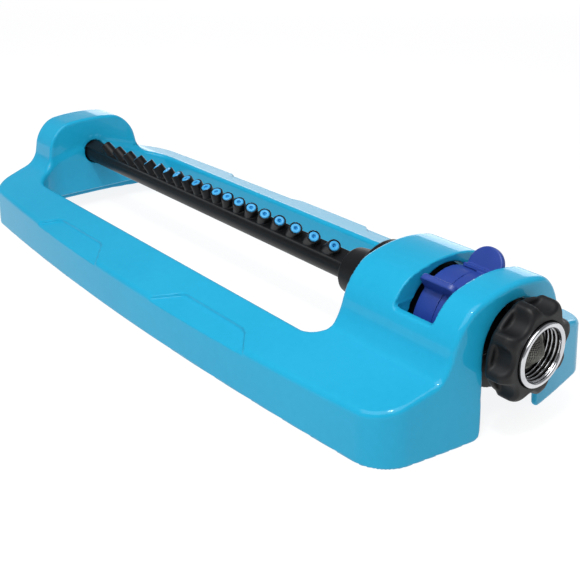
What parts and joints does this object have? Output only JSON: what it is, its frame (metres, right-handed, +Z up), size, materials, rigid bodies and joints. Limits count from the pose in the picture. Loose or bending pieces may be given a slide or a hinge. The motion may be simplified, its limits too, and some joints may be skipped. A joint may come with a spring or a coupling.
{
  "type": "oscillating sprinkler",
  "caption": "Oscillating lawn sprinkler: long cast base with a tower and motor housing, swinging spray bar with fanned jets, two range tabs and a swivel hose coupling.",
  "frame": {"origin": "on the ground under the middle of the whole object's plan", "axes": "+X along the spray bar towards the hose coupling, +Y across the base, +Z up"},
  "size_m": [0.4648, 0.1776, 0.0803],
  "materials": {
    "blue_enamel": "high gloss baked enamel on a casting",
    "black_plastic": "satin moulded black",
    "grip_black": "matt fine-grained soft-touch black",
    "tab_blue": "semi-gloss moulded royal blue",
    "jet_blue": "semi-gloss moulded light blue",
    "gear_plastic": "natural white acetal",
    "thread_chrome": "bright plated, turned",
    "filter_steel": "woven stainless wire",
    "steel": "bright zinc-plated and ground pins",
    "black_rubber": "matt moulded rubber"
  },
  "bodies": {
    "base_unit": {"base_frame": "blue_enamel", "tower_bush": "black_plastic", "inlet_body": "black_plastic", "flange_screw_left": "steel", "flange_screw_right": "steel", "fixed_sun_gear": "gear_plastic"},
    "bar_unit": {"spray_tube": "black_plastic", "nozzle_insert_01": "jet_blue", "nozzle_insert_02": "jet_blue", "nozzle_insert_03": "jet_blue", "nozzle_insert_04": "jet_blue", "nozzle_insert_05": "jet_blue", "nozzle_insert_06": "jet_blue", "nozzle_insert_07": "jet_blue", "nozzle_insert_08": "jet_blue", "nozzle_insert_09": "jet_blue", "nozzle_insert_10": "jet_blue", "nozzle_insert_11": "jet_blue", "nozzle_insert_12": "jet_blue", "nozzle_insert_13": "jet_blue", "nozzle_insert_14": "jet_blue", "nozzle_insert_15": "jet_blue", "nozzle_insert_16": "jet_blue", "nozzle_insert_17": "jet_blue", "nozzle_insert_18": "jet_blue", "nozzle_insert_19": "jet_blue", "nozzle_insert_20": "jet_blue", "tube_end_plug": "black_plastic", "motor_cover": "black_plastic", "motor_case": "black_plastic", "motor_shaft_seal": "black_rubber", "gear_plate": "gear_plastic", "turbine_axle": "steel", "lay_gear_axle": "steel"},
    "turbine_unit": {"turbine_wheel": "gear_plastic"},
    "gear_unit": {"lay_gear": "gear_plastic"},
    "lever_unit": {"trip_lever": "gear_plastic", "trip_shaft": "steel", "reversing_vane": "gear_plastic"},
    "left_ring": {"range_ring_left": "tab_blue"},
    "right_ring": {"range_ring_right": "tab_blue"},
    "coupling_unit": {"coupling_knob": "grip_black", "thread_insert": "thread_chrome", "hose_washer": "black_rubber", "inlet_filter": "filter_steel"}
  },
  "joints": [
    {"name": "bar_swing", "type": "hinge", "parent": "base_unit", "child": "bar_unit", "pos_m": [0, 0, 0.0446], "axis": [1, 0, 0], "range_deg": [-48.4, 15.6]},
    {"name": "turbine_spin", "type": "hinge", "parent": "bar_unit", "child": "turbine_unit", "pos_m": [0.139, 0, 0.0446], "axis": [1, 0, 0], "range_deg": [-180, 520]},
    {"name": "gear_spin", "type": "hinge", "parent": "bar_unit", "child": "gear_unit", "pos_m": [0.15, 0.00457, 0.03351], "axis": [1, 0, 0], "range_deg": [-105, 40]},
    {"name": "lever_trip", "type": "hinge", "parent": "bar_unit", "child": "lever_unit", "pos_m": [0.184, -0.00476, 0.05616], "axis": [1, 0, 0], "range_deg": [-6, 6]},
    {"name": "left_ring_turn", "type": "hinge", "parent": "base_unit", "child": "left_ring", "pos_m": [0.178, 0, 0.0446], "axis": [1, 0, 0], "range_deg": [-14, 26]},
    {"name": "right_ring_turn", "type": "hinge", "parent": "base_unit", "child": "right_ring", "pos_m": [0.189, 0, 0.0446], "axis": [1, 0, 0], "range_deg": [-36, 40]},
    {"name": "coupling_turn", "type": "hinge", "parent": "base_unit", "child": "coupling_unit", "pos_m": [0.222, 0, 0.0446], "axis": [1, 0, 0], "continuous": true}
  ],
  "couplings": [
    {"joint": "gear_spin", "follows": "bar_swing", "ratio": 2},
    {"joint": "turbine_spin", "follows": "bar_swing", "ratio": -10}
  ]
}
